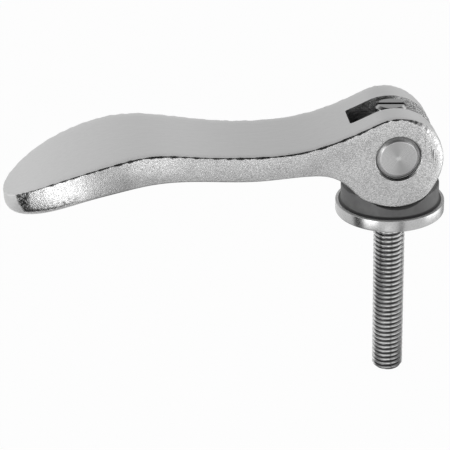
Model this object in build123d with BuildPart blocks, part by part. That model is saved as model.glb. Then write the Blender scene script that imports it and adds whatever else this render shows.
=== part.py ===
from build123d import *
import os
from math import cos, hypot, radians, sin

# Cam clamping lever: a cast lever whose fork carries two eccentric cams. It swings on a cross
# pin that is tapped for an M8 stud, and presses a plastic thrust saddle and a steel washer down.
#
# Frame: millimetres, +Z up along the stud, the origin on the stud's axis in the clamping plane,
# which is the underside of the washer. The handle lies along -X and the pivot runs along Y.
# The lever is modelled closed, as it stands when it clamps.

# ---------------------------------------------------------------- driving dimensions

# Threaded stud. Its thread is drawn plain: at the crest where it stands free, and at the pitch
# diameter where the washer, the saddle and the pin cover it
stud_diameter = 8.0
thread_pitch = 1.25
stud_reach = 46.0           # below the clamping plane
stud_crown = 9.9            # above the pivot's axis, to the slotted end
stud_chamfer = 0.7
driver_slot_width = 1.2
driver_slot_depth = 1.8
driver_slot_turn = -9.0     # degrees from the handle's direction

# Pivot pin and its bore
pivot_height = 19.0         # axis above the clamping plane
pin_diameter = 10.8
pin_chamfer = 0.9
pin_inset = 0.15            # each end below the fork's faces
pivot_clearance = 0.05      # radial
bore_chamfer = 0.25

# Cams: round cheeks set off centre from the pivot
fork_width = 23.5
cam_radius = 11.75
cam_throw = 1.45            # pivot's axis to the cheeks' centre
cam_lean = 12.0             # degrees from straight down, towards the handle
cam_top_tangent = 114.0     # where the handle's top leaves the cheeks' circle
cam_heel_tangent = 248.0    # where the heel leaves it
slot_clearance = 0.3        # each side of the stud
swing_clearance = 0.4       # between the stud's end and the slot's end wall
slot_corner = 1.2

# Handle's stations. Those near the cams are set by their runs outwards from the stud's axis, and
# those of the grip by their runs back from the nose
handle_reach = 97.0         # stud's axis to the nose
heel_run = 8.8
flank_run = 3.2
neck_run = 4.2
throat_run = 5.8
waist_run = 12.5
slope_share = 0.53          # of the way from the waist to the crest
crest_run = 7.0
palm_run = 8.5
shoulder_run = 11.5
brow_run = 6.3
nose_run = 2.7

# Handle, seen from the side: the top line by its height over the pivot, the under line by the
# thickness there, and the turn down to the heel by its depth under the pivot
nose_height = -5.75
brow_height = -1.15
shoulder_height = 3.15
crest_height = 5.6
slope_height = 4.05
waist_height = 2.8
throat_height = 3.55
nose_thickness = 4.1
brow_thickness = 7.2
shoulder_thickness = 7.5
crest_thickness = 7.45
slope_thickness = 6.5
waist_thickness = 6.45
throat_thickness = 6.8
neck_depth = 4.15
flank_depth = 7.2
heel_depth = 10.45

# Handle, seen from above: half widths at the same stations
nose_corner_half = 9.0
brow_half = 13.9
shoulder_half = 16.6
palm_half = 16.2
crest_half = 14.6
slope_half = 12.95
waist_half = 12.35
throat_half = 12.2

nose_overrun = 2.0          # how far the side view runs past the nose before it is cut round

# Washer and thrust saddle, stacked on the clamping plane
washer_radius = 13.8
washer_thickness = 3.0
washer_lower_edge = 0.6     # rounded
washer_upper_edge = 0.3     # chamfered
stud_hole_clearance = 0.2   # radial, round the stud
saddle_radius = 12.4
saddle_height = 4.9         # top of the horns above the washer
saddle_foot_radius = 13.0
saddle_foot_height = 0.6
groove_radius = 14.0
cam_gap = 0.4               # between the cams and the groove's floor

# ---------------------------------------------------------------- worked out from these

palm_width = 3 * shoulder_half
stud_radius = stud_diameter / 2
pitch_radius = stud_radius - 0.3248 * thread_pitch
stud_top = pivot_height + stud_crown
stud_length = stud_top + stud_reach
pin_radius = pin_diameter / 2
pin_length = fork_width - 2 * pin_inset
bore_radius = pin_radius + pivot_clearance
slot_width = stud_diameter + 2 * slot_clearance
slot_reach = hypot(stud_crown, stud_radius - stud_chamfer) + swing_clearance
hole_radius = stud_radius + stud_hole_clearance
cam_x = -cam_throw * sin(radians(cam_lean))
cam_z = pivot_height - cam_throw * cos(radians(cam_lean))
groove_floor = cam_z - cam_radius - cam_gap
saddle_base = washer_thickness
flank_reach = heel_run + flank_run
neck_reach = flank_reach + neck_run
throat_reach = neck_reach + throat_run
waist_reach = throat_reach + waist_run
nose_corner_reach = handle_reach - nose_run
brow_reach = nose_corner_reach - brow_run
shoulder_reach = brow_reach - shoulder_run
palm_reach = shoulder_reach - palm_run
crest_reach = palm_reach - crest_run
slope_reach = waist_reach + slope_share * (crest_reach - waist_reach)
lever_end = cam_x + cam_radius


def over_pivot(reach, height):
    """A point of the side view, from its distance before the stud and height over the pivot."""
    return (-reach, pivot_height + height)


# ---------------------------------------------------------------- lever

cam_top_point = (
    cam_x + cam_radius * cos(radians(cam_top_tangent)),
    cam_z + cam_radius * sin(radians(cam_top_tangent)),
)
cam_heel_point = (
    cam_x + cam_radius * cos(radians(cam_heel_tangent)),
    cam_z + cam_radius * sin(radians(cam_heel_tangent)),
)
cam_front_point = (cam_x + cam_radius, cam_z)

top_line = [
    over_pivot(handle_reach + nose_overrun, nose_height - nose_overrun / 2),
    over_pivot(handle_reach, nose_height),
    over_pivot(brow_reach, brow_height),
    over_pivot(shoulder_reach, shoulder_height),
    over_pivot(crest_reach, crest_height),
    over_pivot(slope_reach, slope_height),
    over_pivot(waist_reach, waist_height),
    over_pivot(throat_reach, throat_height),
    cam_top_point,
]
under_line = [
    over_pivot(handle_reach + nose_overrun, nose_height - nose_thickness),
    over_pivot(handle_reach, nose_height - nose_thickness),
    over_pivot(brow_reach, brow_height - brow_thickness),
    over_pivot(shoulder_reach, shoulder_height - shoulder_thickness),
    over_pivot(crest_reach, crest_height - crest_thickness),
    over_pivot(slope_reach, slope_height - slope_thickness),
    over_pivot(waist_reach, waist_height - waist_thickness),
    over_pivot(throat_reach, throat_height - throat_thickness),
    over_pivot(neck_reach, -neck_depth),
    over_pivot(flank_reach, -flank_depth),
    over_pivot(heel_run, -heel_depth),
    cam_heel_point,
]
plan_line = [
    (-handle_reach, 0),
    (-nose_corner_reach, nose_corner_half),
    (-brow_reach, brow_half),
    (-shoulder_reach, shoulder_half),
    (-palm_reach, palm_half),
    (-crest_reach, crest_half),
    (-slope_reach, slope_half),
    (-waist_reach, waist_half),
    (-throat_reach, throat_half),
    (-slot_reach, fork_width / 2),
]
far_plan_line = [(x, -y) for x, y in reversed(plan_line[1:])]

with BuildPart() as cam_lever:
    with BuildSketch(Plane.XZ.offset(-palm_width / 2)):
        with BuildLine():
            Spline(
                *top_line,
                tangents=[(1, 0.5), (sin(radians(cam_top_tangent)), -cos(radians(cam_top_tangent)))],
            )
            ThreePointArc(cam_top_point, cam_front_point, cam_heel_point)
            Spline(
                *under_line,
                tangents=[(1, 0.05), (-sin(radians(cam_heel_tangent)), cos(radians(cam_heel_tangent)))],
            )
            Line(top_line[0], under_line[0])
        make_face()
    extrude(amount=palm_width)
    with BuildSketch(Plane.XY):
        with BuildLine():
            rim = Spline(*far_plan_line, *plan_line, tangents=[(-1, 0), (1, 0)])
            side = Line(rim @ 1, (lever_end, fork_width / 2))
            front = Line(side @ 1, (lever_end, -fork_width / 2))
            Line(front @ 1, rim @ 0)
        make_face()
    extrude(amount=stud_length, mode=Mode.INTERSECT)
    with BuildSketch(Plane.XY) as fork_slot:
        with Locations((-slot_reach, 0)):
            Rectangle(slot_reach + 2 * cam_radius, slot_width, align=(Align.MIN, Align.CENTER))
        fillet(fork_slot.vertices().group_by(Axis.X)[0], slot_corner)
    extrude(amount=stud_length, mode=Mode.SUBTRACT)
    with BuildSketch(Plane.XZ.offset(-fork_width / 2)):
        with Locations((0, pivot_height)):
            Circle(bore_radius)
    extrude(amount=fork_width, mode=Mode.SUBTRACT)
    bore_rims = cam_lever.edges().filter_by(GeomType.CIRCLE).filter_by(
        lambda e: abs(e.radius - bore_radius) < 0.001 and abs(e.center().Y) > slot_width
    )
    chamfer(bore_rims, bore_chamfer)
cam_lever.part.label = "cam_lever"


# ---------------------------------------------------------------- pivot pin and stud

with BuildPart() as pivot_pin:
    with BuildSketch(Plane.XZ.offset(-pin_length / 2)):
        with Locations((0, pivot_height)):
            Circle(pin_radius)
    extrude(amount=pin_length)
    chamfer(pivot_pin.edges().filter_by(GeomType.CIRCLE), pin_chamfer)
    with BuildSketch(Plane.XY):
        Circle(pitch_radius)
    extrude(amount=stud_length, mode=Mode.SUBTRACT)
pivot_pin.part.label = "pivot_pin"

with BuildPart() as threaded_stud:
    with BuildSketch(Plane.XY.offset(-stud_reach)):
        Circle(stud_radius)
    extrude(amount=stud_length)
    chamfer(threaded_stud.edges().filter_by(GeomType.CIRCLE), stud_chamfer)
    with BuildSketch(Plane.XY):
        Circle(stud_radius)
        Circle(pitch_radius, mode=Mode.SUBTRACT)
    extrude(amount=pivot_height + pin_radius, mode=Mode.SUBTRACT)
    with BuildSketch(Plane.XY.offset(stud_top)):
        Rectangle(2 * stud_diameter, driver_slot_width, rotation=driver_slot_turn)
    extrude(amount=-driver_slot_depth, mode=Mode.SUBTRACT)
threaded_stud.part.label = "threaded_stud"


# ---------------------------------------------------------------- thrust saddle and washer

with BuildPart() as thrust_saddle:
    with BuildSketch(Plane.XY.offset(saddle_base)):
        Circle(saddle_foot_radius)
    extrude(amount=saddle_foot_height)
    with BuildSketch(Plane.XY.offset(saddle_base)):
        Circle(saddle_radius)
    extrude(amount=saddle_height)
    with BuildSketch(Plane.XZ.offset(-saddle_foot_radius)):
        with Locations((0, groove_floor + groove_radius)):
            Circle(groove_radius)
    extrude(amount=2 * saddle_foot_radius, mode=Mode.SUBTRACT)
    with BuildSketch(Plane.XY.offset(saddle_base)):
        Circle(hole_radius)
    extrude(amount=saddle_height, mode=Mode.SUBTRACT)
thrust_saddle.part.label = "thrust_saddle"

with BuildPart() as steel_washer:
    with BuildSketch(Plane.XY):
        Circle(washer_radius)
        Circle(hole_radius, mode=Mode.SUBTRACT)
    extrude(amount=washer_thickness)
    rims = steel_washer.edges().filter_by(GeomType.CIRCLE).sort_by(SortBy.RADIUS)[-2:]
    fillet(rims.sort_by(Axis.Z)[0], washer_lower_edge)
    chamfer(rims.sort_by(Axis.Z)[-1], washer_upper_edge)
steel_washer.part.label = "steel_washer"


# ---------------------------------------------------------------- files

os.makedirs("parts", exist_ok=True)
for piece in (cam_lever, pivot_pin, threaded_stud, thrust_saddle, steel_washer):
    export_step(piece.part, f"parts/{piece.part.label}.step")
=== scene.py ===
"""Cam clamping lever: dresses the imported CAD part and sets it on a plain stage.

The part is a cast lever on a cross pin, tapped for an M8 stud, over a plastic thrust saddle and a
steel washer. Lengths are metres in the part's own frame: +Z runs up the stud, the clamping plane
is z = 0 and the handle lies along -X.
"""
import math

import bpy
import numpy as np
from mathutils import Matrix, Vector


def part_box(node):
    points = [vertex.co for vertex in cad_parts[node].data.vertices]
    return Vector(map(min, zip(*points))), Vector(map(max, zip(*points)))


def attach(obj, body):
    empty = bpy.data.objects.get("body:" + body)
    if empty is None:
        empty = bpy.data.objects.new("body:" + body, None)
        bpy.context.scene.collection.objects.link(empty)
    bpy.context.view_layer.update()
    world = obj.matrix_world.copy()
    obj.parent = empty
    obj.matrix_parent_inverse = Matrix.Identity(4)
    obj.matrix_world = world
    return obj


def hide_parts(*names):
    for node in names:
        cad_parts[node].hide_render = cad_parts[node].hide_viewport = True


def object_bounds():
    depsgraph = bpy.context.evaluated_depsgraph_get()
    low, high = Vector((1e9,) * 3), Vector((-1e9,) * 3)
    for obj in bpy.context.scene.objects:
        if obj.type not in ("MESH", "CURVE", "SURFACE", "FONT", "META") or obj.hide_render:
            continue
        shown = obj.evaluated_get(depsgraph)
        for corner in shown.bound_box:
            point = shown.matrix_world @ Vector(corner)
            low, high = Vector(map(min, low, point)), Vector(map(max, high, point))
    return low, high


bl_info = {
    "name": "Cam Clamping Lever",
    "version": (1, 0, 0),
    "blender": (4, 5, 0),
    "location": "View3D > Sidebar > Lever",
    "description": "Builds the finished pieces of a cam clamping lever over its CAD frame",
    "category": "Object",
}

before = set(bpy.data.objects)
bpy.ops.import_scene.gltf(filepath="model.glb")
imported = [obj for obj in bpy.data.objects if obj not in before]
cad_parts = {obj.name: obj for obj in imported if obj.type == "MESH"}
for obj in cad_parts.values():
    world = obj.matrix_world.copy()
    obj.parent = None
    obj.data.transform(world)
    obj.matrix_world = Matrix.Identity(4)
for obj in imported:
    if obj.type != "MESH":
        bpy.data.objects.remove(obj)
cad_low, cad_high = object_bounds()

stud_low, stud_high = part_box("threaded_stud")
pin_low, pin_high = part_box("pivot_pin")
washer_low, washer_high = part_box("steel_washer")
saddle_low, saddle_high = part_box("thrust_saddle")
pivot = (pin_low.z + pin_high.z) / 2
nose_reach = -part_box("cam_lever")[0].x

MM = 0.001
STUD_AXIS = (0.0, 0.0, 0.0)

# The handle's stations from nose to throat, in millimetres: distance before the stud, half width,
# height of the top over the pivot, and thickness. NONE stands where a line has no station
NONE = math.nan
HANDLE = [
    (97.0, 0.0, -5.75, 4.1),
    (94.3, 9.0, NONE, NONE),
    (88.0, 13.9, -1.15, 7.2),
    (76.5, 16.6, 3.15, 7.5),
    (68.0, 16.2, NONE, NONE),
    (61.0, 14.6, 5.6, 7.45),
    (48.545, 12.95, 4.05, 6.5),
    (34.5, 12.35, 2.8, 6.45),
    (22.0, 12.2, 3.55, 6.8),
]
# The under line's turn down to the heel: distance before the stud, and depth under the pivot
HEEL = [(16.2, 4.15), (12.0, 7.2), (8.8, 10.45)]
# Degrees round the cams' circle where the side lines meet it, and their slopes at the nose
TOP_LEAVES = 114
UNDER_LEAVES = 248
NOSE_FALL = 0.5
KEEL_RISE = 0.05
# How finely the lever is sampled along its lines and round each station
PLAN_SAMPLES = 4001
HANDLE_STATIONS = 190
FORK_STEPS = 16
ARC_STEPS = 70
RIM_STEPS = 6
FLANK_ROWS = 8
SHEET_ROWS = 13

# A fade is a smooth rise from 0 at its first value to 1 at its second. Those of the lever's rims
# and walls are metres before the stud, short of the nose, past the stud, or the wall's lean
GRIP_FADE = (0.012, 0.024)
KEEL_FADE = (0.062, 0.090)
NOSE_FADE = (0.006, 0.001)
UPPER_FRONT_FADE = (0.001, 0.010)
LOWER_FRONT_FADE = (0.006, 0.011)
SWELL_FADE = (0.4, 0.8)

# Rounding of corners that are left nearly sharp, in metres, the angle in degrees from which an edge
# is shaded as sharp, that angle on the thread, and the seed of the upper rim's wear
SHARP = 0.0001
EASED = 0.0002
SHARP_ANGLE = 32.0
THREAD_ANGLE = 25.0
WEAR_SEED = 11
# Points closer than this many metres are one
DOUBLES = 2e-7
# Steps round the turned pieces, their bores and cutters, round each corner of an outline, and
# round the thread and along each of its pitches
TURNED_STEPS = 160
WASHER_STEPS = 200
PIN_STEPS = 96
HOLE_STEPS = 72
GROOVE_STEPS = 240
CORNER_STEPS = 7
THREAD_COLUMNS = 72
ROWS_PER_PITCH = 14

# The thread's form as shares of its pitch: how far its crest's flat reaches, where its root's flat
# begins, and its depth. The last is how much a sine softens the flank
CREST_FLAT = 0.07
ROOT_FLAT = 0.385
THREAD_DEPTH = 0.6134
FLANK_EASE = 0.05

# Noises: the size of their grain in metres, detail, roughness, and a lift that sets them apart
RAGGED = (0.0013, 3.0, 0.7, 0.0)
SAND = (0.00029, 2.0, 0.6, 0.0)
FINE_SAND = (0.00019, 1.0, 0.5, 3.0)
PITS = (0.0008, 1.0, 0.5, 9.0)
PATCHES = (0.006, 2.0, 0.5, 7.0)
SPECKS = (0.0005, 1.0, 0.5, 11.0)
POLISH = (0.0005, 2.0, 0.6, 5.0)
SCRATCHES = (0.0004, 2.0, 0.6, 0.0)
TOOL_MARKS = (0.00012, 1.0, 0.5, 2.0)
CLOUDS = (0.0022, 3.0, 0.6, 0.0)
MOULD_GRAIN = (0.00018, 2.0, 0.6, 4.0)
# How deep the finishes' bumps are, in metres
CAST_RELIEF = 0.00016
TURNED_RELIEF = 0.000004
MOULD_RELIEF = 0.00003

# Marks on the casting. A lean fades by a part of the face's normal and a fade by a place as above.
# A rag is how far its noise shifts an edge. The level, tip and strip mark the ground faces. A mark's
# strength is that of the polish's darker grain, of specks, or of painted shade or painted highlight
LEVEL_LEAN, LEVEL_RAG = (0.40, 0.24), 1.2
TIP_FADE, TIP_RAG = (0.0042, 0.0034), 0.0014
TIP_HEIGHT, TIP_SLANT = -0.0045, 0.5
STRIP_LEAN, STRIP_FADE, STRIP_RAG = (0.26, 0.38), (0.066, 0.080), 0.3
# Painted shade on the ground faces, at the tip and at the waist; the polish's shade is its grain
TIP_LEAN, TIP_SHADE = (0.95, 0.3), 0.13
WAIST_FADE, WAIST_SHADE = (0.056, 0.036), 0.06
POLISH_SHADE = 0.05
# Painted shade on the cast skin: a dark patch at the corner by the nose that specks break up, the seam
# under it, the upper and lower rims, two stretches of wall, the slot's walls and the bores
CORNER_FADE, CORNER_RAG, CORNER_SPECKS = (0.0076, 0.0062), 0.0016, 0.75
SEAM_LEAN, SEAM_FADE, SEAM_RAG, SEAM_SHADE = (0.10, 0.22), (0.074, 0.084), 0.6, 0.8
UPPER_LEAN, UPPER_FADE, UPPER_RIM_SHADE = (0.26, 0.44), (0.009, 0.002), 0.8
LOWER_LEAN, LOWER_RIM_SHADE = (0.02, 0.35), 0.12
NECK_FADE, NECK_SHADE = (0.012, 0.022), 0.08
PALM_FADES, PALM_SHADE = ((0.063, 0.067), (0.078, 0.073)), 0.22
SLOT_WALL_FADE, SLOT_FADE, SLOT_SHADE = (0.0047, 0.0044), (0.004, -0.002), 0.22
BORE_FADE = (0.0002, 0.0001)
# The painted shade's grey, as a share of the pits' grey
PAINTED_SHADE_TONE = 0.08
# Painted highlights on the crest of the handle's wall and at the cheeks' front
CREST_FADES, CREST_HIGHLIGHT = ((0.050, 0.057), (0.072, 0.064)), 0.55
CREST_SLOPE, CREST_RISE = 0.10, (-0.0065, -0.0035)
FRONT_FADE, FRONT_HIGHLIGHT = (0.002, 0.010), 0.35

# Marks on the turned pieces: the line of a bar's darker wedges of painted sheen and the radius of its
# painted highlight spot. On the stud, depths below its top and a radius: where its thread ends, its
# slotted end with painted shade and its driver slot with painted shadow. The greys of its parts, the
# painted shadow in its thread's root among them, are shares of its tone
WEDGE_LINE = math.radians(107)
SPOT_FADE, SPOT_HIGHLIGHT = (0.0009, 0.0002), 0.4
THREAD_END_FADE, ROOT_SHADOW_TONE = (0.005, 0.006), 0.16
END_LEAN, END_SHADE_TONE = (0.4, 0.6), 0.40
DRIVER_DEPTH_FADE, DRIVER_RADIUS_FADE, DRIVER_SHADOW_TONE = (0.0001, 0.0003), (0.0034, 0.0031), 0.02
# Depths below the thread's crest, in pitches, where its shadow is full and where it starts
SHADOW_DEPTHS = (0.5, 0.04)
# Heights over the saddle's lower face between which the painted shade at its foot ends
FOOT_SHADE_FADE, FOOT_SHADE_TONE = (0.0003, 0.0008), 0.08

# The floor in metres, its grey, and the share of it that glows
FLOOR_HALF = 3.0
FLOOR_GAP = 0.0005
FLOOR_TONE = 0.82
FLOOR_GLOW = 0.97
# Cards on the floor round the stud: from and to in degrees from the front towards +X, how soft
# their sides are, and their fades by the distance from the stud
LIT_CARD = (-60, -35, 5, (0.12, 0.15))
NEAR_CARD = (-58, -8, 5, (0.07, 0.09), (0.140, 0.120))
RIGHT_CARD = (68, 112, 6, (0.11, 0.13))
DARK_CARD = (-86, -64, 2, (0.03, 0.10))
FRONT_CARD = (9, 18, 3)
BEYOND_CARD = (122, 165, 8)
BEYOND_SHADE = 0.8
# The shade behind the stud and the one below the handle, in metres across and along
BEHIND_SIDE_FADE = (0.022, 0.012)
BEHIND_FADES = (-0.010, -0.004), (0.14, 0.10)
BELOW_ALONG_FADES = (-0.018, -0.036), (-0.085, -0.060)
BELOW_ACROSS_FADES = (-0.200, -0.030), (0.05, 0.03)
# The room's ceiling and side panels, as parts of the direction in which they are seen
OVERHEAD_FADE = (0.35, 0.80)
PANEL_SIDE_FADE = (0.66, 0.84)
PANEL_RISE_FADES = (0.06, 0.16), (0.56, 0.42)
# The lamps' places, widths and heights in metres
LAMPS = {
    "back panel": ((-0.05, 0.95, 0.42), 1.6, 0.7),
    "key": ((-0.62, -0.62, 0.16), 0.5, 0.35),
    "front": ((0.25, -0.95, 0.12), 0.7, 0.3),
}
# The camera's sensor in millimetres
SENSOR = 36.0


# ------------------------------------------------------------------ shader maths


def maths(operation, swapped=False):
    """A method that adds a Math node on a wire and the other value, if the operation has one."""

    def method(wire, *other):
        values = (*other, wire) if swapped else (wire, *other)
        return wire.web.node("ShaderNodeMath", {"operation": operation}, *values)

    return method


class Wire:
    """A shader socket that takes part in Python arithmetic: each operation adds its Math node.

    wave is the sine, and angle the angle in radians whose tangent is this value over the other.
    """

    def __init__(self, web, socket):
        self.web = web
        self.socket = socket

    __add__ = maths("ADD")
    __radd__ = maths("ADD", swapped=True)
    __sub__ = maths("SUBTRACT")
    __rsub__ = maths("SUBTRACT", swapped=True)
    __mul__ = maths("MULTIPLY")
    __rmul__ = maths("MULTIPLY", swapped=True)
    __pow__ = maths("POWER")
    most = maths("MAXIMUM")
    size = maths("ABSOLUTE")
    wave = maths("SINE")
    angle = maths("ARCTAN2")

    def __neg__(self):
        return self * -1.0

    def step(self, low, high):
        """A smooth rise from 0 where the value is low to 1 where it is high."""
        return self.web.node(
            "ShaderNodeMapRange",
            {"interpolation_type": "SMOOTHSTEP"},
            Value=self, **{"From Min": low, "From Max": high},
        )


class Web:
    """The node tree of a finish or of the world, with the nodes that every tree starts from."""

    def __init__(self, owner, output="ShaderNodeOutputMaterial"):
        owner.use_nodes = True
        self.owner = owner
        self.tree = owner.node_tree
        self.tree.nodes.clear()
        self.coordinates = self.tree.nodes.new("ShaderNodeTexCoord")
        self.output = self.tree.nodes.new(output)

    @classmethod
    def of_finish(cls, name):
        return cls(bpy.data.materials.new(name))

    def node(self, kind, settings=None, *values, **named):
        """Adds a node: its settings, then its sockets' values or links. Returns its first output."""
        made = self.tree.nodes.new(kind)
        for name, value in (settings or {}).items():
            setattr(made, name, value)
        for key, value in list(enumerate(values)) + list(named.items()):
            self.join(value, made.inputs[key])
        return Wire(self, made.outputs[0])

    def join(self, value, socket):
        if isinstance(value, Wire):
            self.tree.links.new(value.socket, socket)
        else:
            socket.default_value = value

    def place(self):
        return Wire(self, self.coordinates.outputs["Object"])

    def facing(self):
        return Wire(self, self.coordinates.outputs["Normal"])

    def rays(self, *kinds):
        """1 for each named kind of ray, such as Is Camera Ray, and 0 for others."""
        path = self.tree.nodes.new("ShaderNodeLightPath")
        return [Wire(self, path.outputs[kind]) for kind in kinds]

    def close(self, shader):
        """Joins a shader to the output, and returns the tree's owner."""
        self.tree.links.new(shader.socket, self.output.inputs[0])
        return self.owner

    def parts(self, vector):
        """The x, y and z of a vector."""
        split = self.node("ShaderNodeSeparateXYZ", None, vector).socket.node
        return [Wire(self, split.outputs[n]) for n in range(3)]

    def noise(self, grain, detail, rough, lift, stretch=(1, 1, 1)):
        """Noise whose lumps are about grain metres across, times the stretch along each axis."""
        moved = self.node(
            "ShaderNodeMapping",
            None,
            Vector=self.place(),
            Location=(lift, lift, lift),
            Scale=tuple(1 / (grain * s) for s in stretch),
        )
        return self.node(
            "ShaderNodeTexNoise",
            {"noise_dimensions": "3D"},
            Vector=moved, Scale=1.0, Detail=detail, Roughness=rough,
        )

    def blend(self, share, low, high):
        """The colour low where share is 0, and high where it is 1.

        The node keeps its colours at inputs 6 and 7, and their mix at output 2.
        """
        mixed = self.tree.nodes.new("ShaderNodeMix")
        mixed.data_type = "RGBA"
        self.join(share, mixed.inputs[0])
        self.join(low, mixed.inputs[6])
        self.join(high, mixed.inputs[7])
        return Wire(self, mixed.outputs[2])

    def bump(self, height, depth):
        """A normal from a height that runs from 0 to 1 over depth metres."""
        return self.node("ShaderNodeBump", None, Height=height, Strength=1.0, Distance=depth)

    def finish(self, colour, roughness, metallic, normal=None, **fixed):
        """Closes the tree with a Principled shader. The rest are fixed values of its sockets."""
        shader = self.tree.nodes.new("ShaderNodeBsdfPrincipled")
        self.join(colour, shader.inputs["Base Color"])
        self.join(roughness, shader.inputs["Roughness"])
        self.join(metallic, shader.inputs["Metallic"])
        if normal is not None:
            self.join(normal, shader.inputs["Normal"])
        for name, value in fixed.items():
            shader.inputs[name.replace("_", " ")].default_value = value
        return self.close(Wire(self, shader.outputs[0]))


def grey(tone):
    """A grey as a linear colour."""
    return (tone, tone, tone, 1.0)


def band(value, *fades):
    """The product of a wire's steps, one for each fade, so that a second fade ends the first."""
    return math.prod(value.step(*fade) for fade in fades)


def from_start(start, fade, sign=1):
    """A fade given as distances over a start, or short of it where sign is -1."""
    return [start + sign * value for value in fade]


def from_centre(web, centre, axis):
    """Distance from an axis through centre, and the angle round it in radians."""
    x, y, z = web.parts(web.place())
    right = x - centre[0]
    up = z - centre[2] if axis == "y" else y - centre[1]
    return (right * right + up * up) ** 0.5, up.angle(right)


# ------------------------------------------------------------------ finishes


def ground_faces(reach, rise, ny, nz, ragged):
    """Masks of the ground tip and of all that is ground, both with ragged edges.

    Ground are the faces that don't lean to the side, the tip beyond a slanted line, and a strip of
    the lower rim by the nose, which fades out along the handle.
    """
    flat = (ny.size() + ragged * LEVEL_RAG).step(*LEVEL_LEAN)
    slanted = reach - (rise - TIP_HEIGHT) * TIP_SLANT + ragged * TIP_RAG
    tip = slanted.step(*from_start(nose_reach, TIP_FADE, -1))
    strip = (-nz + ragged * STRIP_RAG).step(*STRIP_LEAN) * reach.step(*STRIP_FADE)
    return tip, flat.most(tip).most(strip)


def painted_shade_on_cast(web, place, nz, ragged, bore_radius):
    """How much painted shade the cast skin takes: 1 less the product of the shares each mark leaves
    unshaded.

    Each mark is a mask times its strength: the bores, the slot's walls, the speckled corner by the
    nose, the ragged upper rim, the lower rim and its seam by the nose, and two stretches of wall.
    """
    x, y, z = place
    reach, rise = -x, z - pivot
    specks = web.noise(*SPECKS).step(0.46, 0.62)
    corner = (reach + ragged * CORNER_RAG).step(*from_start(nose_reach, CORNER_FADE, -1))
    corner = corner * (1.0 - specks * CORNER_SPECKS)
    seam = (-nz + ragged * SEAM_RAG).step(*SEAM_LEAN) * reach.step(*SEAM_FADE) * SEAM_SHADE
    upper = (nz + ragged).step(*UPPER_LEAN) * x.step(*UPPER_FADE) * UPPER_RIM_SHADE
    lower = (-nz).step(*LOWER_LEAN) * LOWER_RIM_SHADE
    wall = reach.step(*NECK_FADE) * NECK_SHADE + band(reach, *PALM_FADES) * PALM_SHADE
    bore = ((x * x + rise * rise) ** 0.5).step(*from_start(bore_radius, BORE_FADE))
    slot = y.size().step(*SLOT_WALL_FADE) * x.step(*SLOT_FADE) * SLOT_SHADE
    marks = bore.most(slot), corner, upper, lower, wall, seam
    return 1.0 - math.prod(1.0 - mark for mark in marks)


def cast_and_ground_steel(tones, bore_radius):
    """Investment cast steel with a sandy skin, ground smooth on its top, cams and nose.

    The skin's grey runs from its pits to its high spots with the sand and with wide patches. It
    has a painted highlight on the crest of the handle's wall and at the cheeks' front, and painted
    shade on its rims, its corner by the nose, its walls, its slot and its bores. The ground faces have
    a fine polish along X, and painted shade makes them a little darker at the waist and the tip.
    """
    web = Web.of_finish("cast_steel")
    x, _, z = place = web.parts(web.place())
    _, ny, nz = web.parts(web.facing())
    reach, rise = -x, z - pivot
    ragged = web.noise(*RAGGED) - 0.5
    tip, ground = ground_faces(reach, rise, ny, nz, ragged)
    cast = 1.0 - ground

    sand = web.noise(*SAND)
    patch = web.noise(*PATCHES)
    peak = sand.step(0.36, 0.64) * 0.75 + patch.step(0.3, 0.7) * 0.25
    # Painted highlight on the crest of the handle's wall and at the cheeks' front, broken up by the
    # sand
    crest = band(reach, *CREST_FADES) * (rise - reach * CREST_SLOPE).step(*CREST_RISE)
    bright = (x.step(*FRONT_FADE) * FRONT_HIGHLIGHT).most(crest * CREST_HIGHLIGHT)
    # Painted shade on the rims, the corner by the nose, the walls, the slot and the bores
    painted_shade = painted_shade_on_cast(web, place, nz, ragged, bore_radius)
    skin = web.blend(peak, grey(tones.cast_dark), grey(tones.cast_light))
    skin = web.blend(bright * peak, skin, grey(1.0))
    skin = web.blend(painted_shade, skin, grey(tones.cast_dark * PAINTED_SHADE_TONE))

    polish = web.noise(*POLISH, stretch=(9, 1, 1))
    # Painted shade at the waist and the tip; the polish's darker lines are its grain
    darker = reach.step(*WAIST_FADE) * WAIST_SHADE + polish.step(0.7, 0.3) * POLISH_SHADE
    darker = darker + tip * nz.step(*TIP_LEAN) * TIP_SHADE
    colour = web.blend(ground, skin, (1.03 - darker) * tones.ground_light)

    fine = web.noise(*FINE_SAND)
    pit = web.noise(*PITS).step(0.60, 0.72)
    rough = cast * (0.16 + fine * 0.12) + ground * (0.46 + polish * 0.08)
    height = cast * (sand * 0.62 + fine * 0.34 - pit * 0.14) + ground * (0.5 + polish * 0.02)
    return web.finish(colour, rough, 1.0, web.bump(height, CAST_RELIEF))


def paint_stud_shade(web, colour, radius, z, tone, root):
    """Painted shadow in the thread's root and the driver slot, and painted shade on the slotted end
    and its rim.

    root holds the radii of the thread's root and crest, and the thread ends below the slotted end.
    """
    thread = z.step(*from_start(stud_high.z, THREAD_END_FADE, -1))
    end = web.parts(web.facing())[2].step(*END_LEAN) * (1.0 - thread)
    slot = z.step(*from_start(stud_high.z, DRIVER_DEPTH_FADE, -1)) * radius.step(*DRIVER_RADIUS_FADE)
    colour = web.blend(radius.step(*root).most(1.0 - thread), grey(tone * ROOT_SHADOW_TONE), colour)
    colour = web.blend(end, colour, grey(tone * END_SHADE_TONE))
    return web.blend(slot * (1.0 - thread), colour, grey(tone * DRIVER_SHADOW_TONE))


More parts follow.
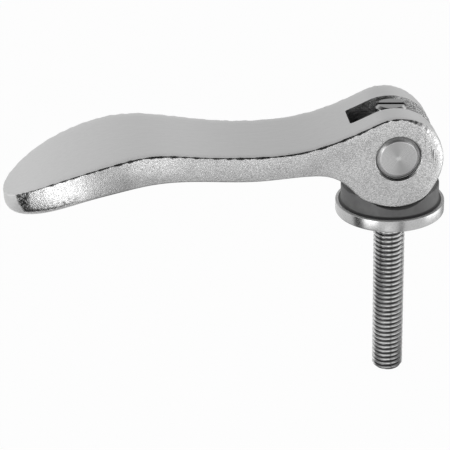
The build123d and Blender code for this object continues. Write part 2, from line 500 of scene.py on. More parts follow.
def turned_steel(name, centre, axis, tone, rough, pitch, fan=0.0, root=None, dull=0.0, edge=1.0):
    """Steel turned in a lathe: fine rings round the axis, and a painted sheen of two darker wedges.

    The rings are a sine of the radius plus the place along the axis. The fan, a painted sheen, is the
    cosine of twice the angle from the wedges' line, raised to run from 0 to 1 and cubed, with a
    painted highlight spot at its middle. dull is the share of the mirror that a ring's upward faces
    lose, or a bar's chamfers but for those that look up. edge is the grey that the mirror keeps where
    it is seen at a slant. root is for a thread, as paint_stud_shade says.
    """
    web = Web.of_finish(name)
    radius, angle = from_centre(web, centre, axis)
    _, y, z = web.parts(web.place())
    _, ny, nz = web.parts(web.facing())
    along = y if axis == "y" else z
    rings = ((radius + along) * (2 * math.pi / pitch)).wave() * 0.5 + 0.5
    scratch = web.noise(*SCRATCHES)
    fine = web.noise(*TOOL_MARKS)
    shade = (rings * 0.5 + scratch * 0.5).step(0.2, 0.8)
    # Painted sheen: two darker wedges across the face, and a painted highlight spot at its middle
    wedge = (((angle - WEDGE_LINE) * 2 + math.pi / 2).wave() * 0.5 + 0.5) ** 3.0
    colour = web.blend(shade * (1.0 - wedge * fan), grey(tone * 0.6), grey(tone))
    colour = web.blend(radius.step(*SPOT_FADE) * fan * SPOT_HIGHLIGHT, colour, grey(1.0))
    if root:
        colour = paint_stud_shade(web, colour, radius, z, tone, root)
    dulled = nz.step(0.5, 0.8) if axis == "z" else ny.size().step(0.95, 0.85) * nz.step(0.5, 0.1)
    rough = rough + scratch * 0.08
    height = rings * 0.6 + fine * 0.4
    normal = web.bump(height, TURNED_RELIEF)
    return web.finish(colour, rough, 1.0 - dulled * dull, normal, Specular_Tint=grey(edge))


def moulded_plastic(tone):
    """Glass filled plastic, dull and faintly mottled, with painted shade that darkens it towards its
    foot.
    """
    web = Web.of_finish("saddle_plastic")
    height = web.parts(web.place())[2]
    cloud = web.noise(*CLOUDS)
    grain = web.noise(*MOULD_GRAIN)
    # Painted shade at the foot, where the saddle meets the washer
    above_foot_shade = height.step(*from_start(saddle_low.z, FOOT_SHADE_FADE))
    colour = web.blend(cloud.step(0.3, 0.7), grey(tone * 0.9), grey(tone * 1.1))
    colour = web.blend(above_foot_shade, grey(tone * FOOT_SHADE_TONE), colour)
    return web.finish(colour, 0.5 + grain * 0.12, 0.0, web.bump(grain, MOULD_RELIEF))


# ------------------------------------------------------------------ meshes


def new_object(name, data):
    """An object linked to the scene."""
    made = bpy.data.objects.new(name, data)
    bpy.context.scene.collection.objects.link(made)
    return made


def new_mesh(name, points, faces):
    """An object with a mesh of points and faces."""
    mesh = bpy.data.meshes.new(name)
    mesh.from_pydata(points, [], faces)
    return new_object(name, mesh)


def tidy_mesh(piece, smooth_angle=SHARP_ANGLE):
    """Merges doubles, points the faces outwards and smooths all but the sharp edges."""
    bpy.ops.object.select_all(action="DESELECT")
    piece.select_set(True)
    bpy.context.view_layer.objects.active = piece
    bpy.ops.object.mode_set(mode="EDIT")
    bpy.ops.mesh.select_all(action="SELECT")
    bpy.ops.mesh.remove_doubles(threshold=DOUBLES)
    bpy.ops.mesh.normals_make_consistent(inside=False)
    bpy.ops.object.mode_set(mode="OBJECT")
    bpy.ops.object.shade_smooth_by_angle(angle=math.radians(smooth_angle))


def solid_mesh(name, points, faces, material, smooth_angle=SHARP_ANGLE):
    """A mesh object from whole arrays, its doubles merged and its faces turned outwards."""
    faces = [list(dict.fromkeys(face)) for face in faces.tolist()]
    piece = new_mesh(name, points.tolist(), faces)
    tidy_mesh(piece, smooth_angle)
    piece.data.materials.append(material)
    return piece


def sheet_faces(rows, columns, closed_columns=True, closed_rows=False):
    """Quads of a grid of rows by columns, joined end to end along either way where it is closed."""
    down = np.arange(rows if closed_rows else rows - 1)[:, None]
    over = np.arange(columns if closed_columns else columns - 1)[None, :]
    next_down, next_over = (down + 1) % rows, (over + 1) % columns
    corners = [down * columns + over, down * columns + next_over]
    corners += [next_down * columns + next_over, next_down * columns + over]
    return np.stack([np.broadcast_to(c, (down.size, over.size)) for c in corners], -1).reshape(-1, 4)


def full_turn(steps):
    """Evenly spaced angles round a full turn, the last one a step short of the first."""
    return np.linspace(0, 2 * np.pi, steps, endpoint=False)


def lathe(name, profile, material, steps=TURNED_STEPS):
    """A closed profile of (radius, height) points turned round Z."""
    profile = np.asarray(profile, float)
    turn = full_turn(steps)
    radius, height = profile[:, :1], profile[:, 1:] + 0 * turn
    points = np.stack([radius * np.cos(turn), radius * np.sin(turn), height], -1).reshape(-1, 3)
    faces = sheet_faces(len(profile), steps, closed_rows=True)
    return solid_mesh(name, points, faces, material)


def prism(name, outline, low, high):
    """A closed straight prism on an outline of (x, y) points, from height low to high."""
    count = len(outline)
    ends = [np.c_[outline, np.full(count, height)] for height in (low, high)]
    caps = [list(range(count))[::-1], list(range(count, 2 * count))]
    sides = [[n, (n + 1) % count, (n + 1) % count + count, n + count] for n in range(count)]
    return new_mesh(name, np.vstack(ends).tolist(), caps + sides)


def carve(piece, cutter):
    """Takes the cutter's solid out of the piece, and removes the cutter."""
    change = piece.modifiers.new("cut", "BOOLEAN")
    change.operation = "DIFFERENCE"
    change.solver = "EXACT"
    change.object = cutter
    bpy.context.view_layer.objects.active = piece
    bpy.ops.object.modifier_apply(modifier=change.name)
    bpy.data.objects.remove(cutter)


def lay_along_y(piece, height):
    """Turns a lathe piece from Z to lie along Y, at a height."""
    place = np.zeros(len(piece.data.vertices) * 3)
    piece.data.vertices.foreach_get("co", place)
    place = place.reshape(-1, 3)[:, [0, 2, 1]] * [1, 1, -1] + [0, 0, height]
    piece.data.vertices.foreach_set("co", place.ravel())
    piece.data.update()


# ------------------------------------------------------------------ lines


def ramp(value, low, high):
    """A smooth rise from 0 at low to 1 at high."""
    share = np.clip((value - low) / (high - low), 0, 1)
    return share * share * (3 - 2 * share)


def rounded(corners, steps=CORNER_STEPS):
    """A closed outline of (x, y, radius) corners, each rounded by its own radius.

    The arc starts and ends radius / tan(half the corner's angle) from the corner, and its points
    turn evenly from the first side's normal to the second's.
    """
    corners = np.asarray(corners, float)
    here = corners[:, :2]
    back = np.roll(here, 1, 0) - here
    ahead = np.roll(here, -1, 0) - here
    back /= np.linalg.norm(back, axis=1, keepdims=True)
    ahead /= np.linalg.norm(ahead, axis=1, keepdims=True)
    half = np.arccos(np.clip((back * ahead).sum(1), -1, 1)) / 2
    middle = back + ahead
    middle /= np.linalg.norm(middle, axis=1, keepdims=True)
    radius = corners[:, 2]
    centre = here + middle * (radius / np.sin(half))[:, None]
    start = here + back * (radius / np.tan(half))[:, None] - centre
    stop = here + ahead * (radius / np.tan(half))[:, None] - centre
    sweep = np.pi - 2 * half
    share = np.linspace(0, 1, steps)[:, None]
    weight = np.sin(sweep)
    first = np.sin((1 - share) * sweep) / weight
    second = np.sin(share * sweep) / weight
    arcs = centre + first[..., None] * start + second[..., None] * stop
    return arcs.transpose(1, 0, 2).reshape(-1, 2)


def smooth_through(points, first, last, samples=1600):
    """A curve through the points, as samples evenly spaced in time, with its tangent at each.

    Time runs as the straight distance from point to point. Between two points the curve is a
    cubic, and the tangents at the points are the solution of the rows that make its curvature
    run on through every inner point.
    """
    points = np.asarray(points, float)
    gap = np.linalg.norm(np.diff(points, axis=0), axis=1)
    count = len(points)
    rows = np.zeros((count, count))
    wanted = np.zeros((count, 2))
    rows[0, 0] = rows[-1, -1] = 1
    wanted[0], wanted[-1] = first / np.linalg.norm(first), last / np.linalg.norm(last)
    inner = np.arange(1, count - 1)
    rows[inner, inner - 1], rows[inner, inner + 1] = gap[1:], gap[:-1]
    rows[inner, inner] = 2 * (gap[1:] + gap[:-1])
    step = np.diff(points, axis=0) / gap[:, None]
    wanted[1:-1] = 3 * (gap[1:, None] * step[:-1] + gap[:-1, None] * step[1:])
    slope = np.linalg.solve(rows, wanted)
    knots = np.r_[0, np.cumsum(gap)]
    time = np.linspace(0, knots[-1], samples)
    at = np.clip(np.searchsorted(knots, time, side="right") - 1, 0, count - 2)
    wide = gap[at][:, None]
    u = (time - knots[at])[:, None] / wide
    a, b, da, db = points[at], points[at + 1], slope[at] * wide, slope[at + 1] * wide
    place = a + u * da + u * u * (3 * (b - a) - 2 * da - db) + u**3 * (2 * (a - b) + da + db)
    tangent = (da + 2 * u * (3 * (b - a) - 2 * da - db) + 3 * u * u * (2 * (a - b) + da + db)) / wide
    return place, tangent / np.linalg.norm(tangent, axis=1, keepdims=True)


def turned_between(first, second, share):
    """Unit vectors that turn evenly from first to second, at each share of the way."""
    angle = np.arccos(np.clip((first * second).sum(-1), -1, 1))[None, :, None]
    share = share[:, None, None]
    return (np.sin((1 - share) * angle) * first + np.sin(share * angle) * second) / np.sin(angle)


def rim(corner, face, wall, radius, steps):
    """The arc that rounds a corner between a face and a wall, given by their outward normals.

    Its centre lies radius under both: corner - radius (face + wall) / (1 + face . wall).
    """
    lean = 1 + (face * wall).sum(-1, keepdims=True)
    centre = corner - radius[:, None] * (face + wall) / lean
    return centre + radius[:, None] * turned_between(face, wall, np.linspace(0, 1, steps))


def worn(count, share):
    """Factors round 1 along a rim: seeded noise, eased over three neighbours, times share."""
    draw = np.random.default_rng(WEAR_SEED).uniform(-1, 1, count + 2)
    return 1 + share * (draw[:-2] + 2 * draw[1:-1] + draw[2:]) / 2


# ------------------------------------------------------------------ pieces


def cam_centre(sizes):
    """The cams' centre as (x, z): thrown from the pivot, straight down leant towards the handle."""
    lean = sizes.cam_lean
    return np.array([-math.sin(lean), -math.cos(lean)]) * sizes.cam_throw + [0, pivot]


def handle_plan(sizes):
    """The handle's half plan from the nose to the slot's end wall, with its outward normals.

    It is the near half of one smooth curve through both sides, thinned to even stations in time.
    """
    reach, half = (np.array(HANDLE) * MM)[:, :2].T
    widths = ~np.isnan(half)
    near = np.stack([-reach[widths], half[widths]], -1)
    near = np.vstack([near, [-sizes.slot_back, sizes.fork_width / 2]])
    whole = np.vstack([(near * [1, -1])[:0:-1], near])
    ends = np.array([-1.0, 0]), np.array([1.0, 0])
    plan, way = smooth_through(whole, *ends, PLAN_SAMPLES)
    middle = PLAN_SAMPLES // 2
    keep = middle + np.linspace(0, middle, HANDLE_STATIONS).astype(int)
    plan, way = plan[keep], way[keep]
    plan[0, 1], way[0] = 0.0, (0.0, 1.0)
    return plan, np.stack([-way[:, 1], way[:, 0]], -1)


def handle_sides(sizes):
    """The stations of the top line and of the under line as (x, z), each run on past the nose."""
    reach, _, height, thick = (np.array(HANDLE) * MM).T
    lines = ~np.isnan(height)
    top = np.stack([-reach[lines], pivot + height[lines]], -1)
    under = top - np.stack([0 * thick[lines], thick[lines]], -1)
    overrun = sizes.nose_overrun
    top = np.vstack([top[0] - np.array([1, NOSE_FALL]) * overrun, top])
    under = np.vstack([under[0] - [overrun, 0], under])
    heel = np.array(HEEL) * MM * -1 + [0, pivot]
    return top, np.vstack([under, heel])


def side_line(points, centre, radius, leave, sign, first, handle_x):
    """One side line of the lever from nose to front, with its outward normals.

    It is read off a smooth curve at the handle's stations and on to where it meets the cams'
    circle, and then runs round the circle to its front. sign is 1 for the top and -1 for below.
    """
    angle = math.radians(leave)
    meet = centre + radius * np.array([math.cos(angle), math.sin(angle)])
    last = np.array([math.sin(angle), -math.cos(angle)]) * sign
    curve, tangent = smooth_through(np.vstack([points, meet]), np.array(first), last)
    fork_x = np.linspace(handle_x[-1], meet[0], FORK_STEPS + 1)[1:]
    x = np.r_[handle_x, fork_x]
    z = np.interp(x, curve[:, 0], curve[:, 1])
    along = np.stack([np.interp(x, curve[:, 0], tangent[:, n]) for n in (0, 1)], -1)
    normal = np.stack([-along[:, 1], along[:, 0]], -1) * sign
    normal /= np.linalg.norm(normal, axis=1, keepdims=True)
    turn = np.linspace(angle, 0 if sign > 0 else 2 * math.pi, ARC_STEPS + 1)[1:]
    out = np.stack([np.cos(turn), np.sin(turn)], -1)
    return np.vstack([np.stack([x, z], -1), centre + radius * out]), np.vstack([normal, out])


def rim_rounds(sizes, top_x, low_x):
    """The radii of the upper and the lower rim at each station, from the x of both lines.

    The upper rim is worn, and wider round the nose. The lower rim narrows from the fork to the
    grip and widens towards the nose. Both are widest at the cheeks' front.
    """
    front = sizes.front_round - sizes.rim_round
    nose = ramp(-top_x, *from_start(nose_reach, NOSE_FADE, -1))
    upper = sizes.rim_round + (sizes.nose_round - sizes.rim_round) * nose
    upper *= worn(len(top_x), sizes.rim_wear)
    upper += front * ramp(top_x, *UPPER_FRONT_FADE)
    lower = sizes.rim_round + (sizes.under_round - sizes.rim_round) * ramp(-low_x, *GRIP_FADE)
    lower += front * ramp(low_x, *LOWER_FRONT_FADE)
    lower += (sizes.keel_round - sizes.under_round) * ramp(-low_x, *KEEL_FADE)
    return upper, lower


def sheet_across(edge, sign):
    """The rows between an edge and its mirror, starting at the near side where sign is 1."""
    across = np.linspace(sign, -sign, SHEET_ROWS)[1:-1][:, None, None]
    return edge * np.where([0, 1, 0], across, 1)


def slot_outline(sizes):
    """The fork slot's outline, which runs out past the cheeks' front."""
    back, front, half = -sizes.slot_back, sizes.fork_width, sizes.slot_width / 2
    near = [(back, -half, sizes.slot_corner), (front, -half, SHARP)]
    return rounded(near + [(front, half, SHARP), (back, half, sizes.slot_corner)])


def bore_cutter(sizes, material):
    """What the pin's bores take out: a bar along Y that flares from each chamfer outwards."""
    radius, half = sizes.bore_radius, sizes.fork_width / 2 - sizes.bore_chamfer
    flare, end = radius + sizes.fork_width, half + sizes.fork_width
    profile = [(0, -end), (flare, -end), (radius, -half), (radius, half), (flare, end), (0, end)]
    cutter = lathe("bore_cut", profile, material, PIN_STEPS)
    lay_along_y(cutter, pivot)
    return cutter


def make_lever(sizes, material):
    """The cast lever: its side lines and plan carried as one closed skin, then cut for stud and pin.

    Each station holds a rounded rectangle: the top sheet, an arc, the side wall, an arc, the under
    sheet, and the same again on the far side. Its corners lie on the top and under lines at the
    plan's half width, and its arcs turn from the sheets' normals to the plan's. The handle's walls
    swell a little between the arcs, as a parabola.
    """
    plan, plan_out = handle_plan(sizes)
    top_points, low_points = handle_sides(sizes)
    cams = cam_centre(sizes), sizes.cam_radius
    top, top_out = side_line(top_points, *cams, TOP_LEAVES, 1, (1, NOSE_FALL), plan[:, 0])
    low, low_out = side_line(low_points, *cams, UNDER_LEAVES, -1, (1, KEEL_RISE), plan[:, 0])
    extra = len(top) - len(plan)
    width = np.r_[plan[:, 1], np.full(extra, sizes.fork_width / 2)]
    side_out = np.vstack([plan_out, np.tile([0.0, 1.0], (extra, 1))])
    flat = np.zeros(len(width))
    wall = np.stack([side_out[:, 0], side_out[:, 1], flat], -1)
    swell = sizes.wall_swell * ramp(-top[:, 0], *GRIP_FADE) * ramp(side_out[:, 1], *SWELL_FADE)
    inset = np.maximum(width - swell, 0)
    upper_round, lower_round = rim_rounds(sizes, top[:, 0], low[:, 0])

    arcs = []
    for line, out, radius in ((top, top_out, upper_round), (low, low_out, lower_round)):
        corner = np.stack([line[:, 0], inset, line[:, 1]], -1)
        sheet_out = np.stack([out[:, 0], flat, out[:, 1]], -1)
        arcs.append(rim(corner, sheet_out, wall, radius, RIM_STEPS))
    down, back = arcs[0], arcs[1][::-1]
    inner = np.linspace(0, 1, FLANK_ROWS)[1:-1][:, None, None]
    bulge = 4 * inner * (1 - inner)
    flank = down[-1] + (back[0] - down[-1]) * inner + wall * swell[:, None] * bulge
    near_side = np.concatenate([down, flank, back])
    far_side = near_side[::-1] * [1, -1, 1]
    loop = [near_side, sheet_across(back[-1], 1), far_side, sheet_across(down[0], -1)]
    points = np.concatenate(loop).transpose(1, 0, 2)
    faces = sheet_faces(*points.shape[:2])
    piece = solid_mesh("cam_lever_cast", points.reshape(-1, 3), faces, material)
    carve(piece, prism("slot_cut", slot_outline(sizes), 0.0, pivot * 2))
    carve(piece, bore_cutter(sizes, material))
    tidy_mesh(piece)
    return piece


def thread_radius(share, sizes):
    """The thread's radius at a share of a pitch from one crest to the next.

    The crest is flat as far as CREST_FLAT to either side. The flank then falls straight to the
    root's flat at ROOT_FLAT, and a sine softens both of its ends.
    """
    away = np.abs((share + 0.5) % 1.0 - 0.5)
    fall = np.clip((away - CREST_FLAT) / (ROOT_FLAT - CREST_FLAT), 0, 1)
    fall -= FLANK_EASE * np.sin(2 * np.pi * fall)
    return sizes.stud_diameter / 2 - THREAD_DEPTH * sizes.pitch * fall


def stud_ends(rows, per_pitch, columns):
    """The stud's seam, whose right side lies one pitch of rows higher, and the fans to its poles."""
    down = np.arange(rows - per_pitch)
    left, right = down * columns + columns - 1, (down + per_pitch) * columns
    seam = np.stack([left, right, right + columns, left + columns], -1)
    ring = np.arange(columns)
    after = np.roll(ring, -1)
    last, poles = rows * columns, (rows + 1) * columns
    under = np.stack([np.full(columns, poles), after, ring, ring], -1)
    over = np.stack([np.full(columns, poles + 1), ring + last, after + last, ring + last], -1)
    return np.vstack([seam, under, over])


def driver_cutter(sizes, top):
    """What the straight driver slot takes out of the stud's upper end."""
    corners = np.array([[-1, -1], [1, -1], [1, 1], [-1, 1]])
    outline = corners * [sizes.stud_diameter, sizes.driver_width / 2]
    turn = sizes.driver_turn
    spin = np.array([[math.cos(turn), math.sin(turn)], [-math.sin(turn), math.cos(turn)]])
    return prism("driver_cut", outline @ spin, top - sizes.driver_depth, top + sizes.driver_depth)


def make_stud(sizes, material):
    """The stud with its real thread, a surface that climbs a pitch as it goes round once.

    A point's height is pitch (row / rows per pitch + angle / turn), held between the ends, so the
    crests follow the grid. The last column joins the first one row set higher. The upper end is
    turned plain, and both ends are chamfered.
    """
    low, high = stud_low.z, stud_high.z
    per_pitch, columns = ROWS_PER_PITCH, THREAD_COLUMNS
    rows = int(math.ceil((high - low) / sizes.pitch + 2)) * per_pitch
    row = np.arange(rows + 1)[:, None]
    turn = full_turn(columns)[None, :]
    share = row / per_pitch + 0 * turn
    height = low + sizes.pitch * (share - 1 + turn / (2 * np.pi))
    cut = thread_radius(share, sizes)
    crest = sizes.stud_diameter / 2
    plain = crest - sizes.plain_step
    cut += (plain - cut) * ramp(height, high - sizes.plain_end - sizes.pitch, high - sizes.plain_end)
    inside = np.minimum(height - low, high - height)
    end = crest - sizes.end_chamfer
    radius = np.where(inside > 0, np.minimum(cut, end + inside), end)
    radius = np.minimum(radius, plain - sizes.top_chamfer + np.clip(high - height, 0, None))
    height = np.clip(height, low, high)
    wall = np.stack([radius * np.cos(turn), radius * np.sin(turn), height], -1).reshape(-1, 3)
    poles = np.array([[0, 0, low], [0, 0, high]])
    faces = sheet_faces(rows + 1, columns, closed_columns=False)
    faces = np.vstack([faces, stud_ends(rows, per_pitch, columns)])
    piece = solid_mesh("threaded_stud_cut", np.vstack([wall, poles]), faces, material, THREAD_ANGLE)
    carve(piece, driver_cutter(sizes, high))
    return piece


def make_pin(sizes, material):
    """The pivot pin: a turned bar with softened chamfers, and its hole for the stud."""
    radius, half = pin_high.x, pin_high.y
    ease, soft = sizes.pin_round, sizes.pin_round / 4
    corners = [
        (0, -half, 0), (radius - ease, -half, soft), (radius, ease - half, soft),
        (radius, half - ease, soft), (radius - ease, half, soft), (0, half, 0),
    ]
    piece = lathe("pivot_pin_turned", rounded(corners), material, PIN_STEPS)
    lay_along_y(piece, pivot)
    turn = full_turn(HOLE_STEPS)
    hole = np.stack([np.cos(turn), np.sin(turn)], -1) * sizes.pin_hole
    carve(piece, prism("stud_hole_cut", hole, pin_low.z - radius, pin_high.z + radius))
    tidy_mesh(piece)
    return piece


def make_saddle(sizes, material):
    """The thrust saddle: a turned collar that flares into its foot, and the groove for the cams."""
    low, high, foot = saddle_low.z, saddle_high.z, saddle_high.x
    flare = sizes.saddle_foot / 2
    profile = [
        (sizes.saddle_bore, low, SHARP), (foot, low, flare / 4), (foot, low + flare, flare / 4),
        (sizes.saddle_radius, low + sizes.saddle_foot, flare), (sizes.saddle_radius, high, flare),
        (sizes.saddle_bore, high, SHARP),
    ]
    piece = lathe("thrust_saddle_moulded", rounded(profile), material)
    groove, end = sizes.groove_radius, 2 * foot
    bar = [(0, -end), (groove, -end), (groove, end), (0, end)]
    cutter = lathe("groove_cut", bar, material, GROOVE_STEPS)
    lay_along_y(cutter, cam_centre(sizes)[1] + groove - sizes.cam_radius - sizes.cam_gap)
    carve(piece, cutter)
    tidy_mesh(piece)
    return piece


def make_washer(sizes, material):
    """The washer: a turned ring whose lower rim is well rounded and whose upper rim is eased."""
    outer, low, high = washer_high.x, washer_low.z, washer_high.z
    corners = [
        (sizes.washer_bore, low, EASED),
        (outer, low, sizes.washer_lower_round),
        (outer, high, sizes.washer_upper_round),
        (sizes.washer_bore, high, EASED),
    ]
    return lathe("steel_washer_turned", rounded(corners), material, WASHER_STEPS)


# ------------------------------------------------------------------ settings


def number(name, description, default, **limits):
    """A setting with its name, its description for the panel, its default, and its limits."""
    return bpy.props.FloatProperty(name=name, description=description, default=default, **limits)


def length(name, description, millimetres):
    kind = {"subtype": "DISTANCE", "unit": "LENGTH", "precision": 5}
    return number(name, description, millimetres * MM, min=0.0, **kind)


def angular(name, description, degrees):
    return number(name, description, math.radians(degrees), subtype="ANGLE", unit="ROTATION")


def power(name, description, watts):
    return number(name, description, watts, min=0.0, unit="POWER")


def amount(name, description, value):
    return number(name, description, value, min=0.0)


def level(name, description, value):
    return number(name, description, value, min=0.0, max=1.0)


class LeverSizes(bpy.types.PropertyGroup):
    """Sizes of what is made here over the CAD frame."""

    fork_width: length("Fork width", "Width over the two cheeks", 23.5)
    cam_radius: length("Cam radius", "Radius of the round cheeks", 11.75)
    cam_throw: length("Cam throw", "From the pivot's axis to the cheeks' centre", 1.45)
    cam_lean: angular("Cam lean", "Direction of the throw, from straight down to the handle", 12)
    slot_width: length("Slot width", "Gap between the cheeks", 8.6)
    slot_back: length("Slot depth", "From the stud's axis to the slot's end wall", 10.835)
    slot_corner: length("Slot corner", "Rounding of the slot's inner corners", 0.6)
    bore_radius: length("Bore radius", "Radius of the bores for the pin", 5.45)
    bore_chamfer: length("Bore chamfer", "Chamfer of the bores' rims", 0.5)
    nose_overrun: length("Nose overrun", "How far the side lines run past the nose", 2.0)
    wall_swell: length("Wall swell", "How far the handle's walls bulge between their rims", 0.22)
    rim_round: length("Rim", "Rounding of the handle's upper rims and of the cheeks' rims", 0.5)
    nose_round: length("Nose rim", "Rounding of the upper rim round the nose", 1.1)
    rim_wear: level("Rim wear", "How far the upper rim's rounding strays, as a share of it", 0.45)
    keel_round: length("Nose lower rim", "Rounding of the lower rim round the nose", 1.8)
    front_round: length("Front rim", "Rounding of the cheeks' rims at their front", 2.4)
    under_round: length("Lower rim", "Rounding of the handle's lower rims", 0.45)
    stud_diameter: length("Stud diameter", "Outside diameter of the stud's thread", 8.0)
    pitch: length("Pitch", "Distance between the thread's crests", 1.25)
    end_chamfer: length("End chamfer", "Chamfer at the stud's lower end", 0.7)
    top_chamfer: length("Top chamfer", "Chamfer at the stud's slotted end", 0.7)
    plain_end: length("Plain end", "Length turned plain at the slotted end", 5.5)
    plain_step: length("Plain step", "How far the plain end lies under the crests", 0.1)
    driver_width: length("Driver slot width", "Width of the slot in the stud's upper end", 1.2)
    driver_depth: length("Driver slot depth", "Depth of the slot in the stud's upper end", 1.8)
    driver_turn: angular("Driver slot turn", "How far the slot is turned from the handle", -9)
    pin_round: length("Pin rim", "Chamfer of the pin's rims", 0.95)
    pin_hole: length("Pin hole", "Radius of the pin's hole for the stud", 4.03)
    saddle_radius: length("Saddle radius", "Outside radius of the saddle over its foot", 12.4)
    saddle_foot: length("Saddle foot", "Height of the saddle's flared foot", 0.6)
    saddle_bore: length("Saddle bore", "Radius of the saddle's hole", 4.2)
    groove_radius: length("Groove radius", "Radius of the saddle's groove for the cams", 14.0)
    cam_gap: length("Cam gap", "Between the cams and the groove's floor", 0.4)
    washer_bore: length("Washer bore", "Radius of the washer's hole", 4.2)
    washer_lower_round: length("Washer lower rim", "Rounding of the washer's lower rim", 0.4)
    washer_upper_round: length("Washer upper rim", "Rounding of the washer's upper rim", 0.1)


class LeverFinish(bpy.types.PropertyGroup):
    """Tones of the finishes, as linear grey levels."""

    cast_light: level("Cast, high spots", "Grey of the casting's high spots", 0.59)
    cast_dark: level("Cast, pits", "Grey of the casting's pits", 0.38)
    ground_light: level("Ground top", "Grey of the ground top", 0.70)
    pin: level("Pin", "Grey of the pivot pin", 0.68)
    stud: level("Stud", "Grey of the stud", 0.95)
    washer: level("Washer", "Grey of the washer", 0.60)
    plastic: level("Saddle", "Grey of the thrust saddle", 0.115)


class LeverStage(bpy.types.PropertyGroup):
    """The floor, lamps and camera."""

    azimuth: angular("Azimuth", "Direction the camera looks from, round the stud", -3.87)
    elevation: angular("Elevation", "Height of the camera as an angle", 26.31)
    roll: angular("Roll", "Turn of the camera about its own line of sight", -2.06)
    target: bpy.props.FloatVectorProperty(
        name="Target", description="The point that the camera looks at",
        default=(-0.0422, 0.0, -0.0016), subtype="XYZ", unit="LENGTH", precision=5,
    )
    distance: length("Distance", "From the camera to the point it looks at", 399.3)
    lens: number("Lens", "Focal length on a 36 mm sensor", 125.63, min=1.0, unit="CAMERA")
    lit_card: amount("Lit card", "Added brightness of the card on the floor before the nose", 3.1)
    near_card: amount("Near card", "Added brightness of the floor in front, towards the nose", 0.8)
    right_card: amount("Right card", "Added brightness of the card at the fork's side", 2.0)
    dark_card: level("Dark card", "How dark the card beyond the nose is", 0.97)
    front_card: level("Front card", "How dark the narrow card in front is", 0.8)
    shade: level("Shade", "How dark metal sees the floor under the part and behind it", 0.65)
    back_power: power("Back panel", "Power of the wide lamp behind the part", 1.6)
    key_power: power("Key lamp", "Power of the lamp at the nose's side", 1.6)
    front_power: power("Front lamp", "Power of the low lamp in front", 1.2)
    room_level: level("Room", "Brightness of the room round the part", 0.68)
    ceiling_level: level("Ceiling", "Brightness of the room overhead", 0.06)
    side_level: amount("Side panels", "Added brightness of the room's panels at either side", 1.2)


# ------------------------------------------------------------------ stage


def lamp(name, place, aim, width, height, watts):
    """A soft rectangular lamp at place that shines towards aim."""
    light = bpy.data.lights.new(name, "AREA")
    light.shape = "RECTANGLE"
    light.size, light.size_y, light.energy = width, height, watts
    holder = new_object(name, light)
    holder.location = place
    holder.rotation_euler = (Vector(place) - aim).to_track_quat("Z", "Y").to_euler()


def light_room(scene, settings):
    """A room bright at the part's level and darker overhead, with a low panel at either side.

    The camera sees it plain white.
    """
    web = Web(bpy.data.worlds.new("room"), "ShaderNodeOutputWorld")
    x, _, z = web.parts(Wire(web, web.coordinates.outputs["Generated"]))
    overhead = z.step(*OVERHEAD_FADE)
    room = settings.room_level * (1.0 - overhead) + settings.ceiling_level * overhead
    panels = x.size().step(*PANEL_SIDE_FADE) * band(z, *PANEL_RISE_FADES) * settings.side_level
    (camera,) = web.rays("Is Camera Ray")
    strength = camera + (1.0 - camera) * (room + panels)
    scene.world = web.close(web.node("ShaderNodeBackground", None, Color=grey(1.0), Strength=strength))


def floor_finish(settings):
    """A plain pale floor that keeps the shadow, and where reflections see it glows unevenly with
    painted light and shade.

    A card is a sector of the floor between two directions, times its fades outwards. Light and dark
    cards are added and taken off, and shade then takes its share of what lies under, behind and
    beyond the part.
    """
    web = Web.of_finish("floor_white")
    x, y, _ = web.parts(web.place())
    camera, glossy, through = web.rays("Is Camera Ray", "Is Glossy Ray", "Is Transmission Ray")
    away = (x * x + y * y) ** 0.5
    turn = x.angle(-y) * math.degrees(1)

    def card(low, high, edge, *fades):
        return band(turn, (low - edge, low + edge), (high + edge, high - edge)) * band(away, *fades)

    light = card(*LIT_CARD) * settings.lit_card + card(*NEAR_CARD) * settings.near_card
    light = light + card(*RIGHT_CARD) * settings.right_card
    dark = card(*DARK_CARD) * settings.dark_card + card(*FRONT_CARD) * settings.front_card
    behind = x.size().step(*BEHIND_SIDE_FADE) * band(y, *BEHIND_FADES)
    below = band(x, *BELOW_ALONG_FADES) * band(y, *BELOW_ACROSS_FADES)
    shaded = behind.most(below).most(card(*BEYOND_CARD) * BEYOND_SHADE)
    cards = (1.0 + light - dark) * (1.0 - shaded * settings.shade)
    plain = web.node("ShaderNodeBsdfDiffuse", None, Color=grey(FLOOR_TONE))
    strength = camera + (1.0 - camera) * cards
    glow = web.node("ShaderNodeEmission", None, Color=grey(1.0), Strength=strength)
    seen = camera.most(glossy).most(through)
    return web.close(web.node("ShaderNodeMixShader", None, seen * FLOOR_GLOW, plain, glow))


def lay_floor(settings):
    """The floor: a square just under the stud's lower end."""
    half, low = FLOOR_HALF, cad_low.z - FLOOR_GAP
    corners = [(-half, -half, low), (half, -half, low), (half, half, low), (-half, half, low)]
    floor = new_mesh("floor", corners, [(0, 1, 2, 3)])
    floor.data.materials.append(floor_finish(settings))
    return floor


def set_camera(scene, settings):
    """The camera, at its distance from the target in the direction of its azimuth and elevation.

    Its own right and up are the level ones turned about that direction by the roll.
    """
    azimuth, elevation, roll = settings.azimuth, settings.elevation, settings.roll
    across = math.cos(elevation)
    back = Vector((math.sin(azimuth) * across, -math.cos(azimuth) * across, math.sin(elevation)))
    right = Vector((math.cos(azimuth), math.sin(azimuth), 0.0))
    up = back.cross(right)
    over = right * math.cos(roll) + up * math.sin(roll)
    above = up * math.cos(roll) - right * math.sin(roll)
    view = bpy.data.cameras.new("camera")
    view.lens, view.sensor_width = settings.lens, SENSOR
    holder = new_object("camera", view)
    place = Matrix.Translation(Vector(settings.target) + back * settings.distance)
    holder.matrix_world = place @ Matrix((over, above, back)).transposed().to_4x4()
    scene.camera = holder


# ------------------------------------------------------------------ operators


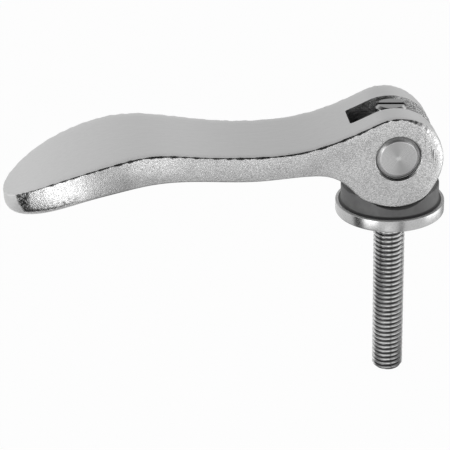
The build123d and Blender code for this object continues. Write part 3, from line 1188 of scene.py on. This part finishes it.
class LEVER_OT_casting(bpy.types.Operator):
    """Give the cast lever its rough and ground finishes"""

    bl_idname = "lever.casting"
    bl_label = "Cam Lever"

    def execute(self, context):
        sizes = context.scene.lever_sizes
        finish = cast_and_ground_steel(context.scene.lever_finish, sizes.bore_radius)
        piece = make_lever(sizes, finish)
        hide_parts("cam_lever")
        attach(piece, "lever")
        return {"FINISHED"}


class LEVER_OT_pin(bpy.types.Operator):
    """Give the pivot pin its turned finish"""

    bl_idname = "lever.pin"
    bl_label = "Pivot Pin"

    def execute(self, context):
        centre = (pin_low + pin_high) / 2
        tone = context.scene.lever_finish.pin
        finish = turned_steel(
            "pin_steel", centre, "y", tone, rough=0.30, pitch=0.0003, fan=0.9, dull=0.6
        )
        piece = make_pin(context.scene.lever_sizes, finish)
        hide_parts("pivot_pin")
        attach(piece, "stud")
        return {"FINISHED"}


class LEVER_OT_stud(bpy.types.Operator):
    """Cut the stud with its real thread and driver slot"""

    bl_idname = "lever.stud"
    bl_label = "Threaded Stud"

    def execute(self, context):
        tone = context.scene.lever_finish.stud
        sizes = context.scene.lever_sizes
        crest = sizes.stud_diameter / 2
        root = [crest - depth * sizes.pitch for depth in SHADOW_DEPTHS]
        finish = turned_steel(
            "stud_steel", STUD_AXIS, "z", tone, rough=0.14, pitch=0.00017, root=root, edge=0.3
        )
        piece = make_stud(sizes, finish)
        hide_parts("threaded_stud")
        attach(piece, "stud")
        return {"FINISHED"}


class LEVER_OT_saddle(bpy.types.Operator):
    """Give the thrust saddle its moulded finish"""

    bl_idname = "lever.saddle"
    bl_label = "Thrust Saddle"

    def execute(self, context):
        finish = moulded_plastic(context.scene.lever_finish.plastic)
        piece = make_saddle(context.scene.lever_sizes, finish)
        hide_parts("thrust_saddle")
        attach(piece, "saddle")
        return {"FINISHED"}


class LEVER_OT_washer(bpy.types.Operator):
    """Turn the washer with its rounded rims"""

    bl_idname = "lever.washer"
    bl_label = "Steel Washer"

    def execute(self, context):
        tone = context.scene.lever_finish.washer
        finish = turned_steel(
            "washer_steel", STUD_AXIS, "z", tone, rough=0.20, pitch=0.00022, dull=0.9
        )
        piece = make_washer(context.scene.lever_sizes, finish)
        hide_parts("steel_washer")
        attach(piece, "washer")
        return {"FINISHED"}


class LEVER_OT_stage(bpy.types.Operator):
    """Lay the floor, hang the lamps and set the camera"""

    bl_idname = "lever.stage"
    bl_label = "Stage"

    def execute(self, context):
        settings = context.scene.lever_stage
        floor = lay_floor(settings)
        light_room(context.scene, settings)
        middle = (cad_low + cad_high) / 2
        powers = settings.back_power, settings.key_power, settings.front_power
        for (name, (place, width, height)), watts in zip(LAMPS.items(), powers):
            lamp(name, place, middle, width, height, watts)
        set_camera(context.scene, settings)
        context.scene.view_settings.view_transform = "Standard"
        return {"FINISHED"}


class LEVER_PT_panel(bpy.types.Panel):
    """Lists the pieces and their sizes"""

    bl_label = "Cam Lever"
    bl_idname = "LEVER_PT_panel"
    bl_space_type = "VIEW_3D"
    bl_region_type = "UI"
    bl_category = "Lever"

    def draw(self, context):
        for operator in OPERATORS:
            self.layout.operator(operator.bl_idname)
        for group in ("lever_sizes", "lever_finish", "lever_stage"):
            settings = getattr(context.scene, group)
            column = self.layout.column(align=True)
            for name in settings.__annotations__:
                column.prop(settings, name)


GROUPS = {"lever_sizes": LeverSizes, "lever_finish": LeverFinish, "lever_stage": LeverStage}
OPERATORS = [
    LEVER_OT_casting, LEVER_OT_pin, LEVER_OT_stud, LEVER_OT_saddle, LEVER_OT_washer, LEVER_OT_stage,
]


def register():
    for kind in [*GROUPS.values(), *OPERATORS, LEVER_PT_panel]:
        bpy.utils.register_class(kind)
    for name, kind in GROUPS.items():
        setattr(bpy.types.Scene, name, bpy.props.PointerProperty(type=kind))


def unregister():
    for name in GROUPS:
        delattr(bpy.types.Scene, name)
    for kind in reversed([*GROUPS.values(), *OPERATORS, LEVER_PT_panel]):
        bpy.utils.unregister_class(kind)


def main():
    register()
    bpy.ops.lever.casting()
    bpy.ops.lever.pin()
    bpy.ops.lever.stud()
    bpy.ops.lever.saddle()
    bpy.ops.lever.washer()
    bpy.ops.lever.stage()


if __name__ == "__main__":
    main()
